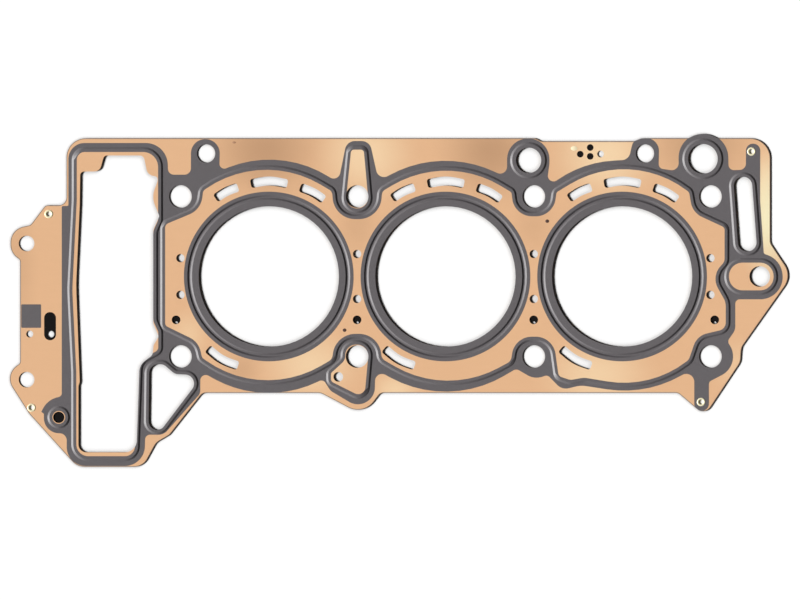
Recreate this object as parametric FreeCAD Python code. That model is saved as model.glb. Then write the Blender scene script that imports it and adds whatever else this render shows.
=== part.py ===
import FreeCAD, Part
import math
import os

# Cylinder head gasket for one bank of three cylinders, in millimetres.
# Two steel sheets lie on each other. The base layer is flat. The upper layer is a thin spring sheet,
# pressed to two levels: low round the bolts and along the outer edge, high on pads round the coolant
# area, the timing opening and the oil passages. The step between the levels is a half bead.
# A full bead, pressed down as a groove, runs round each bore. Four eyelets hold the sheets together.
# Their lower flanges sit in countersinks, so that the underside is flat.
# The origin is on the middle bore's axis, half way through the base layer. X runs along the cylinder
# row away from the timing end, Y runs up in the plane of the gasket and Z points to the cylinder head.

# Cylinders and head bolts
BORE_PITCH = 106.0
BORE_DIAMETER = 84.2
BOLT_ROW_SPACING = 96.0
BOLT_HOLE_DIAMETER = 13.6

# Outline: distance from the bolt rows to the straight upper edge and to the timing end's lowest edge
DECK_RISE = 34.9
TIMING_DROP = 66.2

# Sheets
BASE_THICKNESS = 0.5
SHEET_THICKNESS = 0.25
STEP_HEIGHT = 0.5
STEP_WIDTH = 1.2

# Full bead round each bore, pressed down to the low level
BEAD_OFFSET = 5.4
BEAD_WIDTH = 2.8
BEAD_FLOOR = 0.7

# Half beads: distance from a hole's edge to the middle of the step round it
RIM = 2.2
OIL_RIM = 2.85
BOLT_RIM = 2.8
ISLAND_BOLT_RIM = 2.5
ISLAND_CHANNEL = 2.0
COOLANT_BAND = 23.9

# Coolant passages
SLOT_OFFSET = 14.6
SLOT_WIDTH = 5.4
SLOT_CORNER = 1.5
SLOT_ANGLES = [(109.0, 124.3), (78.6, 101.0), (54.3, 70.6), (229.7, 251.0)]
COOLANT_HOLE_DIAMETER = 5.0
END_COOLANT_Y = 11.0
MIDDLE_COOLANT_Y = 13.5
METER_WINDOW_DIAMETER = 5.2
METER_HOLE_DIAMETER = 2.0
METER_HOLE_DROP = 1.9
METER_DROP = 22.0

# Round holes on the bolt deck
OIL_FEED_DIAMETER = 15.2
OIL_RETURN_DIAMETER = 17.8
OIL_RETURN_WEB = 6.1
HUMP_ANGLE = 28.0
SIDE_HOLE_DIAMETER = 11.0
COVER_SCREW_DIAMETER = 9.4
DOWEL_DIAMETER = 12.4
DRAIN_DIAMETER = 5.8
PIN_HOLE_DIAMETER = 4.2
BLIND_HOLE_DIAMETER = 6.8
BLIND_RIM = 2.8
GAUGE_SLOT_WIDTH = 7.1
GAUGE_SLOT_LENGTH = 16.9
GAUGE_HOLE_DIAMETER = 4.0
GRADE_HOLE_DIAMETER = 4.0
ISLAND_WIDTH = 21.0
ISLAND_LENGTH = 10.2

# Eyelets
EYELET_BORE = 3.0
EYELET_WALL = 0.5
EYELET_FLANGE = 6.0
EYELET_RISE = 0.3
EYELET_SINK = 0.3
EYELET_CLEARANCE = 0.05

# Levels along Z
BASE_TOP = BASE_THICKNESS / 2
BASE_BOTTOM = -BASE_TOP
LOW_TOP = BASE_TOP + SHEET_THICKNESS

# Stations along X: the bores and the bolt columns. Bolt rows lie at TOP and LOW.
BORES_X = [(i - 1) * BORE_PITCH for i in range(3)]
X0, X1, X2, X3 = [(i - 1.5) * BORE_PITCH for i in range(4)]
TOP = BOLT_ROW_SPACING / 2
LOW = -TOP
EDGE = TOP + DECK_RISE
FOOT = LOW - TIMING_DROP
BORE_R = BORE_DIAMETER / 2
BOLT_R = BOLT_HOLE_DIAMETER / 2

# Places of single holes
OIL_FEED = (X2 - 3.1, EDGE - 13.2)
OIL_RETURN = (X3 - 4.5, EDGE - 12.3)
SIDE_HOLES = [(X0 + 15.4, EDGE - 9.1), (X3 - 39.3, EDGE - 9.1)]
COVER_SCREWS = [(X0 - 92.3, 19.8), (X0 - 92.3, LOW - 13.9)]
DOWEL = (X3 + 29.6, 0.0)
DRAIN = (X1 - 11.3, LOW - 12.2)
PIN_HOLE = (X0 - 90.4, LOW + 13.5)
BLIND_HOLE = (X0 - 73.0, LOW - 36.5)
GAUGE_SLOT = (X0 - 78.2, LOW + 18.2)
GAUGE_HOLE = (X0 - 77.7, LOW + 13.4)
GRADE_HOLES = [(X2 + 27.9, EDGE - 9.5), (X2 + 33.9, EDGE - 5.5), (X2 + 33.9, EDGE - 10.8)]
GRADE_THROUGH_HOLE = (X2 + 40.1, EDGE - 9.4)
EYELETS = [
    (X0 - 79.0, TOP - 10.5),
    (X0 - 89.4, LOW - 30.7),
    (X3 + 24.6, EDGE - 7.9),
    (X3 - 5.6, LOW - 27.3),
]

# An arc takes at most this share of a side together with its neighbour
SIDE_SHARE = 0.98

# How far the slab that the levels are cut from reaches past the outline
SLAB_MARGIN = 5.0


def vector(x, y, z=0.0):
    return FreeCAD.Vector(x, y, z)


def polar(x, radius, degrees, rounding):
    """Corner at an angle round the bore at x."""
    angle = math.radians(degrees)
    return (x + radius * math.cos(angle), radius * math.sin(angle), rounding)


def bow(x, radius, start, end):
    """The one corner whose rounding is the arc round the bore at x between two angles."""
    half = math.radians(abs(end - start) / 2)
    return polar(x, radius / math.cos(half), (start + end) / 2, radius)


def lobe(x, y, side, reach):
    """Two corners of a U round a bolt hole, on the side of the row that faces the bores."""
    return [(x - side * reach, y - side * reach, reach), (x + side * reach, y - side * reach, reach)]


def hump(place, radius, edge, rounding):
    """Three corners of an arc round a hole that stands above a straight upper edge."""
    x, y = place
    angle = math.radians(HUMP_ANGLE)
    apex = y + radius / math.cos(angle)
    foot = (apex - edge) / math.tan(angle)
    return [(x - foot, edge, rounding), (x, apex, radius), (x + foot, edge, rounding)]


def rounded_box(left, right, bottom, top, rounding):
    """Four corners of an upright rectangle, clockwise."""
    return [(left, top, rounding), (right, top, rounding), (right, bottom, rounding), (left, bottom, rounding)]


def directions(corners):
    """Unit directions into and out of each corner."""
    spots = [vector(x, y) for x, y, _ in corners]
    count = len(spots)
    runs = [(spots[(i + 1) % count] - spots[i]).normalize() for i in range(count)]
    return [(runs[i - 1], runs[i]) for i in range(count)]


def grown(corners, distance):
    """The outline moved outwards by a distance, with its roundings kept concentric."""
    count = len(corners)
    area = 0.0
    for i in range(count):
        area += corners[i - 1][0] * corners[i][1] - corners[i][0] * corners[i - 1][1]
    turn = 1.0 if area > 0 else -1.0
    result = []
    for (x, y, rounding), (into, out) in zip(corners, directions(corners)):
        normal_in = vector(into.y * turn, -into.x * turn)
        normal_out = vector(out.y * turn, -out.x * turn)
        middle = (normal_in + normal_out).normalize()
        shift = distance / middle.dot(normal_in)
        convex = (into.x * out.y - into.y * out.x) * turn > 0
        spread = distance if convex else -distance
        result.append((x + middle.x * shift, y + middle.y * shift, rounding + spread))
    return result


def wire(corners, z=0.0):
    """Closed wire at height z: straight runs joined by tangent arcs."""
    count = len(corners)
    spots = [vector(x, y, z) for x, y, _ in corners]
    flow = directions(corners)
    turns = [into.getAngle(out) for into, out in flow]
    reach = [corners[i][2] * math.tan(turns[i] / 2) for i in range(count)]
    share = [1.0] * count
    for i in range(count):
        side = spots[i].distanceToPoint(spots[i - 1]) * SIDE_SHARE
        fit = side / max(reach[i] + reach[i - 1], side)
        share[i] = min(share[i], fit)
        share[i - 1] = min(share[i - 1], fit)
    arcs = []
    for i in range(count):
        into, out = flow[i]
        length = reach[i] * share[i]
        rise = corners[i][2] * share[i] * (1 / math.cos(turns[i] / 2) - 1)
        start = spots[i] - into * length
        end = spots[i] + out * length
        crown = spots[i] + (out - into).normalize() * rise
        arcs.append((start, crown, end))
    edges = []
    for i in range(count):
        edges.append(Part.LineSegment(arcs[i - 1][2], arcs[i][0]).toShape())
        edges.append(Part.Arc(*arcs[i]).toShape())
    return Part.Wire(edges)


def circle(place, diameter):
    ring = Part.Circle(vector(*place), vector(0, 0, 1), diameter / 2)
    return Part.Wire([ring.toShape()])


def plate_outline():
    """Outer edge of both sheets, clockwise from the timing end's top corner."""
    deck = LOW - 21.8
    return [
        (X0 - 68.3, EDGE, 11.4),
        (X2 + 1.4, EDGE, 4.8),
        (X2 + 4.4, EDGE - 1.8, 4.8),
        (X3 - 45.8, EDGE - 1.8, 4.8),
        (X3 - 41.6, EDGE, 4.8),
        *hump(OIL_RETURN, OIL_RETURN_DIAMETER / 2 + OIL_RETURN_WEB, EDGE, 4.2),
        (X3 + 35.9, EDGE, 12.0),
        (X3 + 35.9, 20.1, 6.0),
        (X3 + 49.0, 0.4, 11.4),
        (X3 + 18.6, LOW + 5.4, 7.2),
        (X3 + 18.0, LOW - 3.4, 7.2),
        (X3 - 3.3, LOW - 35.5, 5.4),
        (X3 - 19.4, deck, 4.8),
        (X1 + 14.1, deck, 4.2),
        (X1 + 3.8, LOW - 35.3, 12.0),
        (X1 - 21.9, deck, 7.2),
        (X0 + 13.3, deck, 4.8),
        (X0 - 6.5, LOW - 47.0, 4.8),
        (X0 - 14.6, LOW - 51.8, 7.2),
        (X0 - 22.4, FOOT, 9.0),
        (X0 - 61.9, FOOT, 10.2),
        (X0 - 90.8, LOW - 34.2, 18.0),
        (X0 - 105.8, LOW - 10.6, 9.6),
        (X0 - 96.1, LOW - 4.1, 2.4),
        (X0 - 96.1, 10.0, 2.4),
        (X0 - 101.9, 14.0, 9.6),
        (X0 - 101.9, 28.3, 9.6),
        (X0 - 89.9, TOP - 17.2, 3.6),
        (X0 - 80.9, TOP - 5.3, 3.0),
        (X0 - 68.3, TOP - 5.3, 4.8),
    ]


def timing_opening():
    """Opening over the timing case, with a sheet tab at its top left."""
    return [
        (X0 - 60.1, EDGE - 19.9, 2.4),
        (X0 - 48.5, EDGE - 19.9, 4.2),
        (X0 - 45.8, EDGE - 10.3, 2.4),
        (X0 - 22.1, EDGE - 10.3, 3.0),
        (X0 - 19.7, TOP + 13.2, 4.8),
        (X0 - 13.7, TOP + 11.7, 1.8),
        (X0 - 13.7, TOP + 9.3, 3.0),
        (X0 - 17.3, TOP - 0.6, 13.2),
        (X0 - 12.6, TOP - 11.7, 1.8),
        (X0 - 16.3, TOP - 20.1, 7.2),
        (X0 - 16.3, LOW + 20.1, 4.8),
        (X0 - 13.0, LOW + 12.0, 1.8),
        (X0 - 16.1, LOW + 6.9, 3.6),
        (X0 - 16.7, LOW + 0.9, 3.6),
        (X0 - 24.5, LOW - 5.1, 8.4),
        (X0 - 26.4, FOOT + 8.7, 7.2),
        (X0 - 61.2, FOOT + 8.7, 4.8),
        (X0 - 61.2, LOW - 17.7, 1.8),
        (X0 - 60.4, LOW - 15.3, 1.8),
        (X0 - 62.6, -5.1, 120.0),
        (X0 - 60.4, TOP - 5.1, 36.0),
    ]


def timing_pad():
    """Middle of the half bead round the timing opening."""
    return [
        (X0 - 64.6, EDGE - 5.8, 7.2),
        (X0 - 11.0, EDGE - 5.8, 11.4),
        (X0 - 11.0, TOP - 14.7, 5.4),
        (X0 - 13.9, TOP - 21.3, 6.0),
        (X0 - 13.9, LOW + 21.9, 4.8),
        (X0 - 10.9, LOW + 15.3, 4.8),
        (X0 - 10.9, LOW + 2.4, 5.4),
        (X0 - 23.0, LOW - 4.2, 7.2),
        (X0 - 25.2, FOOT + 4.0, 8.4),
        (X0 - 64.9, FOOT + 4.0, 9.6),
        (X0 - 64.9, LOW - 9.3, 36.0),
        (X0 - 67.3, -8.1, 72.0),
        (X0 - 64.6, TOP - 2.1, 36.0),
    ]


def gallery_opening():
    """Three-sided oil gallery below the last bolt of the timing end."""
    return [
        (X0 - 18.7, LOW - 4.7, 5.4),
        (X0 - 10.1, LOW - 4.7, 4.8),
        (X0 - 3.2, LOW - 10.6, 6.0),
        (X0 + 13.3, LOW - 11.3, 5.4),
        (X0 - 19.3, FOOT + 11.9, 5.1),
    ]


def long_slot():
    """Slightly slanted slot at the rear end, beside the last bolt."""
    return [
        (X3 + 13.6, TOP + 11.8, 5.4),
        (X3 + 24.7, TOP + 11.8, 5.4),
        (X3 + 28.1, 15.1, 5.4),
        (X3 + 16.8, 15.1, 5.4),
    ]


def dowel_island():
    """Stadium-shaped pad that ends concentric with the dowel hole."""
    x, y = DOWEL
    half = ISLAND_WIDTH / 2
    return rounded_box(x - ISLAND_LENGTH - half, x + half, y - half, y + half, half)


def teardrop_island():
    """Pad that carries an upper bolt hole and narrows towards the top edge."""
    reach = BOLT_R + ISLAND_BOLT_RIM
    return [
        (X1 - 5.6, EDGE - 4.6, 4.2),
        (X1 + 6.0, EDGE - 4.6, 4.2),
        (X1 + reach + 0.3, TOP - reach, reach),
        (X1 - reach - 0.3, TOP - reach, reach),
    ]


def kite_island():
    """Pad that carries a lower bolt hole and the drain hole."""
    reach = BOLT_R + ISLAND_BOLT_RIM
    return [
        (X1 - reach, LOW + reach, reach),
        (X1 + reach + 0.4, LOW + reach, reach),
        (X1 + 6.3, LOW - 28.4, 6.6),
        (X1 - 17.9, LOW - 16.3, 4.8),
        (X1 - 17.9, LOW - 9.0, 4.2),
        (X1 - reach, LOW - 1.2, 4.8),
    ]


def coolant_pad():
    """Middle of the half bead round all bores and coolant passages, clockwise from the timing end."""
    outer = BORE_R + COOLANT_BAND
    plain = BOLT_R + BOLT_RIM
    island = BOLT_R + ISLAND_BOLT_RIM + ISLAND_CHANNEL
    first, middle, last = BORES_X
    return [
        (X0 - 11.5, TOP - 15.3, 5.4),
        (X0 + 10.0, TOP - 6.3, 10.2),
        (X0 + 11.5, TOP + 4.8, 5.4),
        bow(first, outer, 126, 60),
        (X1 - island - 1.6, TOP + 4.5, 6.0),
        *lobe(X1, TOP, 1, island),
        (X1 + island + 1.6, TOP + 4.5, 6.0),
        bow(middle, outer, 120, 59),
        (X2 - plain - 1.6, TOP + 3.9, 4.8),
        *lobe(X2, TOP, 1, plain),
        (X2 + plain + 1.9, TOP + 3.9, 4.8),
        bow(last, outer, 121, 52),
        (X3 - 10.7, TOP + 3.9, 5.4),
        (X3 - 8.6, TOP - 8.1, 9.6),
        (X3 + 10.8, TOP - 17.1, 4.8),
        (X3 + 10.8, 8.1, 7.2),
        (X3 + 3.4, -0.3, 9.0),
        (X3 + 11.5, -14.7, 12.0),
        (X3 + 11.5, LOW + 14.7, 7.2),
        (X3 - 6.2, LOW + 10.5, 8.4),
        (X3 - 11.0, LOW - 3.3, 7.2),
        bow(last, outer, -52, -99),
        (X2 + 30.2, LOW - 15.0, 8.4),
        (X2 + 21.8, LOW - 16.5, 8.4),
        (X2 + 12.8, LOW - 13.5, 5.4),
        *lobe(X2, LOW, -1, plain),
        (X2 - plain - 1.9, LOW - 4.2, 7.2),
        bow(middle, outer, -62, -117),
        (X1 + island + 1.2, LOW - 2.7, 7.2),
        *lobe(X1, LOW, -1, island),
        (X1 - island - 1.4, LOW - 3.0, 7.2),
        bow(first, outer, -62, -124),
        (X0 + 10.9, LOW - 2.1, 5.4),
        (X0 + 8.8, LOW + 7.2, 9.6),
        (X0 - 11.5, LOW + 17.1, 4.8),
    ]


def coolant_slots():
    """Slots with rounded corners that follow a ring round each bore."""
    inner = BORE_R + SLOT_OFFSET - SLOT_WIDTH / 2
    outer = inner + SLOT_WIDTH
    slots = []
    for x in BORES_X:
        for start, end in SLOT_ANGLES:
            middle = (start + end) / 2
            bulge = 1 / math.cos(math.radians(end - start) / 2)
            slots.append([
                polar(x, outer, start, SLOT_CORNER),
                polar(x, outer * bulge, middle, outer / 2),
                polar(x, outer, end, SLOT_CORNER),
                polar(x, inner, end, SLOT_CORNER),
                polar(x, inner * bulge, middle, inner / 2),
                polar(x, inner, start, SLOT_CORNER),
            ])
    return slots


def meter_windows():
    """Places of the four holes where the base layer throttles the coolant."""
    return [(X0 - 2.6, LOW + METER_DROP), (X1, LOW + METER_DROP),
            (X2, LOW + METER_DROP), (X3 + 2.6, LOW + METER_DROP)]


def common_holes():
    """Wires of all openings that both sheets share."""
    holes = [circle((x, 0.0), BORE_DIAMETER) for x in BORES_X]
    for x in (X0, X1, X2, X3):
        holes += [circle((x, y), BOLT_HOLE_DIAMETER) for y in (TOP, LOW)]
    for x, y in ((X0, END_COOLANT_Y), (X1, MIDDLE_COOLANT_Y), (X2, MIDDLE_COOLANT_Y), (X3, END_COOLANT_Y)):
        holes += [circle((x, side * y), COOLANT_HOLE_DIAMETER) for side in (1, -1)]
    holes += [circle(place, SIDE_HOLE_DIAMETER) for place in SIDE_HOLES]
    holes += [circle(place, COVER_SCREW_DIAMETER) for place in COVER_SCREWS]
    holes += [circle(place, EYELET_BORE + 2 * EYELET_WALL + 2 * EYELET_CLEARANCE) for place in EYELETS]
    holes.append(circle(OIL_FEED, OIL_FEED_DIAMETER))
    holes.append(circle(OIL_RETURN, OIL_RETURN_DIAMETER))
    holes.append(circle(DOWEL, DOWEL_DIAMETER))
    holes.append(circle(DRAIN, DRAIN_DIAMETER))
    holes.append(circle(PIN_HOLE, PIN_HOLE_DIAMETER))
    holes.append(circle(GRADE_THROUGH_HOLE, GRADE_HOLE_DIAMETER))
    holes += [wire(corners) for corners in coolant_slots()]
    holes += [wire(corners) for corners in (timing_opening(), gallery_opening(), long_slot())]
    return holes


def gauge_slot():
    """Upright stadium cut in the upper layer only."""
    x, y = GAUGE_SLOT
    half = GAUGE_SLOT_WIDTH / 2
    end = GAUGE_SLOT_LENGTH / 2
    return rounded_box(x - half, x + half, y - end, y + end, half)


def upper_holes():
    """Openings of the upper layer that show the base layer behind them."""
    holes = [circle(place, GRADE_HOLE_DIAMETER) for place in GRADE_HOLES]
    holes += [circle(place, METER_WINDOW_DIAMETER) for place in meter_windows()]
    holes.append(circle(BLIND_HOLE, BLIND_HOLE_DIAMETER))
    holes.append(wire(gauge_slot()))
    return holes


def base_holes():
    """Small holes of the base layer alone."""
    holes = [circle((x, y - METER_HOLE_DROP), METER_HOLE_DIAMETER) for x, y in meter_windows()]
    holes.append(circle(GAUGE_HOLE, GAUGE_HOLE_DIAMETER))
    return holes


def plate(holes, bottom, top):
    """The gasket's outline with its holes, as a flat plate between two heights."""
    face = Part.makeFace([wire(plate_outline())] + holes, "Part::FaceMakerBullseye")
    face.translate(vector(0, 0, bottom))
    return face.extrude(vector(0, 0, top - bottom))


def raised_pad(corners, level):
    """Pad with sloping edges that rises from the low level to the high one."""
    half = STEP_WIDTH / 2
    foot = wire(grown(corners, half), level)
    crown = wire(grown(corners, -half), level + STEP_HEIGHT)
    return Part.makeLoft([foot, crown], True, True)


def raised_rim(place, radius, level):
    """Round pad whose step lies at a radius round a hole."""
    half = STEP_WIDTH / 2
    return Part.makeCone(radius + half, radius - half, STEP_HEIGHT, vector(*place, level))


def bead_ring(x, level):
    """What the full bead takes out of the high pad, down to the low level, round the bore at x."""
    middle = x + BORE_R + BEAD_OFFSET
    crest = level + STEP_HEIGHT
    lid = crest + STEP_HEIGHT
    profile = [
        (-BEAD_FLOOR / 2, level), (BEAD_FLOOR / 2, level), (BEAD_WIDTH / 2, crest),
        (BEAD_WIDTH / 2, lid), (-BEAD_WIDTH / 2, lid), (-BEAD_WIDTH / 2, crest),
    ]
    points = [vector(middle + r, 0, z) for r, z in profile]
    section = Part.Face(Part.makePolygon(points + points[:1]))
    return section.revolve(vector(x, 0, 0), vector(0, 0, 1), 360)


def mass_below(level, margin):
    """Everything below a surface that has the low level, the raised pads and the bore beads."""
    box = plate([], 0, 1).BoundBox
    slab = Part.makeBox(
        box.XLength + 2 * margin, box.YLength + 2 * margin, margin,
        vector(box.XMin - margin, box.YMin - margin, level - margin),
    )
    outlines = [coolant_pad(), timing_pad(), teardrop_island(), kite_island(), dowel_island()]
    outlines += [grown(corners, RIM) for corners in (gallery_opening(), long_slot())]
    pads = [raised_pad(corners, level) for corners in outlines]
    pads.append(raised_rim(OIL_FEED, OIL_FEED_DIAMETER / 2 + OIL_RIM, level))
    pads.append(raised_rim(OIL_RETURN, OIL_RETURN_DIAMETER / 2 + OIL_RIM, level))
    pads.append(raised_rim(BLIND_HOLE, BLIND_HOLE_DIAMETER / 2 + BLIND_RIM, level))
    beads = [bead_ring(x, level) for x in BORES_X]
    return slab.multiFuse(pads).cut(Part.makeCompound(beads))


def upper_bead_layer():
    """Spring sheet that follows the two levels and the bore beads at one thickness."""
    sheet = mass_below(LOW_TOP, SLAB_MARGIN).cut(mass_below(BASE_TOP, 2 * SLAB_MARGIN))
    punched = plate(common_holes() + upper_holes(), BASE_BOTTOM, LOW_TOP + 2 * STEP_HEIGHT)
    return punched.common(sheet).Solids[0]


def base_layer():
    """Flat plate under the upper layer, countersunk from below for the eyelets."""
    mouth = EYELET_FLANGE / 2 + EYELET_CLEARANCE
    throat = EYELET_BORE / 2 + EYELET_WALL + EYELET_CLEARANCE
    seats = [Part.makeCone(mouth, throat, EYELET_SINK, vector(*place, BASE_BOTTOM)) for place in EYELETS]
    punched = plate(common_holes() + base_holes(), BASE_BOTTOM, BASE_TOP)
    return punched.cut(Part.makeCompound(seats)).Solids[0]


def eyelet(place):
    """Hollow rivet: its upper flange lies on the low level, the lower one flares flush into its seat."""
    bore = EYELET_BORE / 2
    barrel = bore + EYELET_WALL
    rim = EYELET_FLANGE / 2
    high = LOW_TOP + EYELET_RISE
    profile = [
        (bore, BASE_BOTTOM), (rim, BASE_BOTTOM), (barrel, BASE_BOTTOM + EYELET_SINK),
        (barrel, LOW_TOP), (rim, LOW_TOP), (bore, high),
    ]
    points = [vector(r, 0, z) for r, z in profile]
    section = Part.Face(Part.makePolygon(points + points[:1]))
    rivet = section.revolve(vector(0, 0, 0), vector(0, 0, 1), 360)
    rivet.translate(vector(*place))
    return rivet


def main():
    os.makedirs("parts", exist_ok=True)
    nodes = {
        "upper_bead_layer": upper_bead_layer(),
        "base_layer": base_layer(),
        "eyelets": Part.makeCompound([eyelet(place) for place in EYELETS]),
    }
    for name, shape in nodes.items():
        shape.exportStep(f"parts/{name}.step")


main()
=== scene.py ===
import logging
import math
from dataclasses import dataclass
from enum import Enum

import bmesh
import bpy
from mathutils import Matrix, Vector


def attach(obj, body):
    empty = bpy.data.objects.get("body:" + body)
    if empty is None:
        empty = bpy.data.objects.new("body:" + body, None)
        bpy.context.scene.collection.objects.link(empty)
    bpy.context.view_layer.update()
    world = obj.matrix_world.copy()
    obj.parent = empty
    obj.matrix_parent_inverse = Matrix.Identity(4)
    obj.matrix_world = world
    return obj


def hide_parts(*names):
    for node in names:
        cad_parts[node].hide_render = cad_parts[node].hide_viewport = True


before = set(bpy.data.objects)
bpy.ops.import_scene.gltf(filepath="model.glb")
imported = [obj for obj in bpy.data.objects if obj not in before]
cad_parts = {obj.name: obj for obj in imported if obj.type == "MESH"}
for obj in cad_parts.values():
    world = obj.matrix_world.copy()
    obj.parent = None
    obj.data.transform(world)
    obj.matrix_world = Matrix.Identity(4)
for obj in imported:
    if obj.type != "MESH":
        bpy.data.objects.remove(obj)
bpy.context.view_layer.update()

# A metal head gasket that lies flat and is seen from straight above. The pressed sheet, the base
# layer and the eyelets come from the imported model. This script prints the seal on the pressed
# sheet, rolls the eyelets, and gives every surface its finish. Outlines are in millimetres, and
# pieces in metres.

log = logging.getLogger("head_gasket")

# Metres in a millimetre
MM = 0.001
# Points nearer to each other than this, in metres, are joined
WELD = 1e-7
# Least upward part of the normal of a face that is seen from above
FACING_UP = 0.5
# Height in metres from which rays look down
RAY_HEIGHT = 1.0

# Stations of the pressed sheet
BORE_PITCH = 106.0
BORE_R = 42.1
BOLT_ROW_SPACING = 96.0
BOLT_R = 6.8
DECK_RISE = 34.9
TIMING_DROP = 66.2
BORES_X = [(i - 1) * BORE_PITCH for i in range(3)]
X0, X1, X2, X3 = [(i - 1.5) * BORE_PITCH for i in range(4)]
TOP = BOLT_ROW_SPACING / 2
LOW = -TOP
EDGE = TOP + DECK_RISE
FOOT = LOW - TIMING_DROP
DOWEL_X = X3 + 29.6

# Levels of the two sheets
BASE_BOTTOM = -0.25
LOW_TOP = 0.5

Corner = tuple[float, float, float]


def polar(x: float, y: float, radius: float, degrees: float, rounding: float) -> Corner:
    """Corner with a rounding, at a distance and an angle in degrees from a centre."""
    angle = math.radians(degrees)
    return (x + radius * math.cos(angle), y + radius * math.sin(angle), rounding)


def bow(x: float, y: float, radius: float, start: float, end: float) -> Corner:
    """Corner whose rounding is the arc round a centre between two angles in degrees."""
    half = math.radians(abs(end - start) / 2)
    return polar(x, y, radius / math.cos(half), (start + end) / 2, radius)


def lobe(x: float, y: float, side: int, reach: float) -> list[Corner]:
    """Two corners of a U round a bolt hole, on the side of the row that faces the bores."""
    return [(x + end * reach, y - side * reach, reach) for end in (-side, side)]


def rounded_box(left: float, right: float, bottom: float, top: float,
                rounding: float) -> list[Corner]:
    """Four corners of an upright rectangle, clockwise."""
    ends = ((left, top), (right, top), (right, bottom), (left, bottom))
    return [(x, y, rounding) for x, y in ends]


@dataclass(frozen=True)
class Ring:
    """Circle, in millimetres."""

    x: float
    y: float
    radius: float
    steps: int = 180

    def draw(self, bm: bmesh.types.BMesh, height: float) -> None:
        """Draw the circle as a loop of edges.

        Args:
            bm: Mesh that takes the loop.
            height: Level of the loop in millimetres.
        """
        loop = bmesh.ops.create_circle(bm, cap_ends=False, segments=self.steps,
                                       radius=self.radius * MM)
        centre = (self.x * MM, self.y * MM, height * MM)
        bmesh.ops.translate(bm, verts=loop["verts"], vec=centre)


@dataclass(frozen=True)
class Outline:
    """Closed line of straight runs joined by tangent arcs, clockwise, in millimetres."""

    corners: tuple[Corner, ...]
    arc_step: float = math.radians(6.0)
    fewest_steps: int = 2
    side_share: float = 0.98
    least_rounding: float = 0.3

    def spots(self) -> list[Vector]:
        """Places of the corners."""
        return [Vector((x, y)) for x, y, _ in self.corners]

    def runs(self) -> list[Vector]:
        """Find the direction of the run that leaves each corner.

        Returns:
            Unit vectors in the corners' order.
        """
        spots = self.spots()
        count = len(spots)
        return [(spots[(i + 1) % count] - spots[i]).normalized() for i in range(count)]

    def grown(self, distance: float) -> "Outline":
        """The outline moved outwards, with its roundings kept concentric.

        Args:
            distance: How far every run moves, negative for inwards.

        Returns:
            The new outline.
        """
        runs = self.runs()
        result = []
        for i, (x, y, rounding) in enumerate(self.corners):
            into, out = runs[i - 1], runs[i]
            normal_in = Vector((-into.y, into.x))
            normal_out = Vector((-out.y, out.x))
            middle = (normal_in + normal_out).normalized()
            shift = distance / middle.dot(normal_in)
            convex = into.x * out.y - into.y * out.x < 0
            spread = distance if convex else -distance
            rounding = max(rounding + spread, self.least_rounding)
            result.append((x + middle.x * shift, y + middle.y * shift, rounding))
        return Outline(tuple(result))

    def draw(self, bm: bmesh.types.BMesh, height: float) -> None:
        """Draw the outline as a loop of edges, each rounding spun round its centre.

        Args:
            bm: Mesh that takes the loop.
            height: Level of the loop in millimetres.
        """
        spots = self.spots()
        runs = self.runs()
        count = len(spots)
        turns = [runs[i - 1].angle_signed(runs[i]) for i in range(count)]
        reach = [self.corners[i][2] * math.tan(abs(turns[i]) / 2) for i in range(count)]
        share = [1.0] * count
        for i in range(count):
            side = (spots[i] - spots[i - 1]).length * self.side_share
            fit = side / max(reach[i] + reach[i - 1], side)
            share[i] = min(share[i], fit)
            share[i - 1] = min(share[i - 1], fit)
        ends = []
        for i in range(count):
            into = runs[i - 1]
            side = -math.copysign(1.0, turns[i])
            start = spots[i] - into * reach[i] * share[i]
            centre = start + Vector((-into.y, into.x)) * side * self.corners[i][2] * share[i]
            first = bm.verts.new((start.x * MM, start.y * MM, height * MM))
            steps = max(self.fewest_steps, math.ceil(abs(turns[i]) / self.arc_step))
            arc = bmesh.ops.spin(
                bm, geom=[first], cent=(centre.x * MM, centre.y * MM, height * MM),
                axis=(0, 0, 1), angle=-turns[i], steps=steps, use_merge=False,
            )
            last = next(v for v in arc["geom_last"] if isinstance(v, bmesh.types.BMVert))
            ends.append((first, last))
        for i in range(count):
            bm.edges.new((ends[i - 1][1], ends[i][0]))


Shape = Outline | Ring


def raise_faces(bm: bmesh.types.BMesh, height: float) -> list[bmesh.types.BMVert]:
    """Pull every face of a flat or nearly flat mesh up into a closed body.

    Args:
        bm: Mesh whose faces all look up.
        height: Height of the body in millimetres.

    Returns:
        The upper points.
    """
    risen = bmesh.ops.extrude_face_region(bm, geom=bm.faces[:])
    tops = [v for v in risen["geom"] if isinstance(v, bmesh.types.BMVert)]
    bmesh.ops.translate(bm, verts=tops, vec=(0, 0, height * MM))
    bmesh.ops.recalc_face_normals(bm, faces=bm.faces)
    return tops


def upper_face() -> bmesh.types.BMesh:
    """Copy the upper face of the pressed sheet.

    Returns:
        The face as one joined surface.
    """
    bm = bmesh.new()
    bm.from_mesh(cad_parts["upper_bead_layer"].data)
    bmesh.ops.remove_doubles(bm, verts=bm.verts, dist=WELD)
    bm.normal_update()
    hidden = [f for f in bm.faces if f.normal.z < FACING_UP]
    bmesh.ops.delete(bm, geom=hidden, context="FACES")
    return bm


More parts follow.
